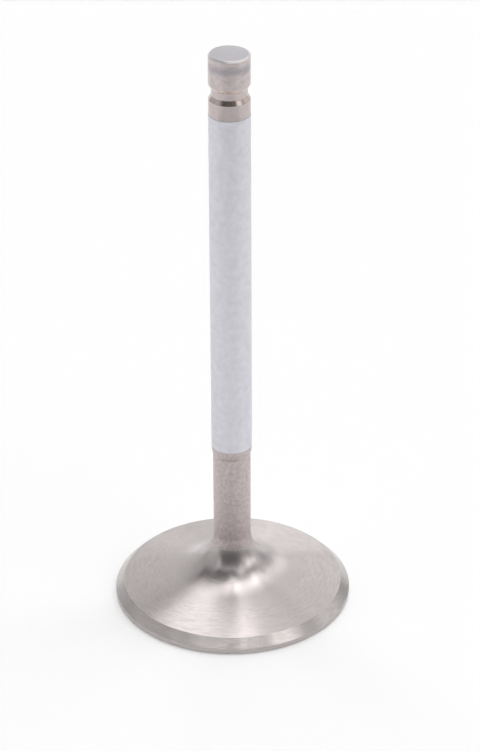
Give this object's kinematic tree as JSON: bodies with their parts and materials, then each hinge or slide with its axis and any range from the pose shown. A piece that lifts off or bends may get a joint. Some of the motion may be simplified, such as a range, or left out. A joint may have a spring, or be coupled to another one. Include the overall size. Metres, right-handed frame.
{
  "type": "engine valve",
  "caption": "Poppet valve with a flat round head, swept neck, undercut and plated stem, and a keeper groove below its tip.",
  "frame": {"origin": "centre of the flat combustion face that the valve stands on", "axes": "+Z along the stem's axis, from the head to the tip; X and Y are alike, because the valve is a body of revolution"},
  "size_m": [0.051, 0.051, 0.1279],
  "materials": {
    "steel": "turned and ground stainless steel, with a satin hard-chrome band on the stem"
  },
  "bodies": {
    "root": {"valve": "steel"}
  },
  "joints": []
}
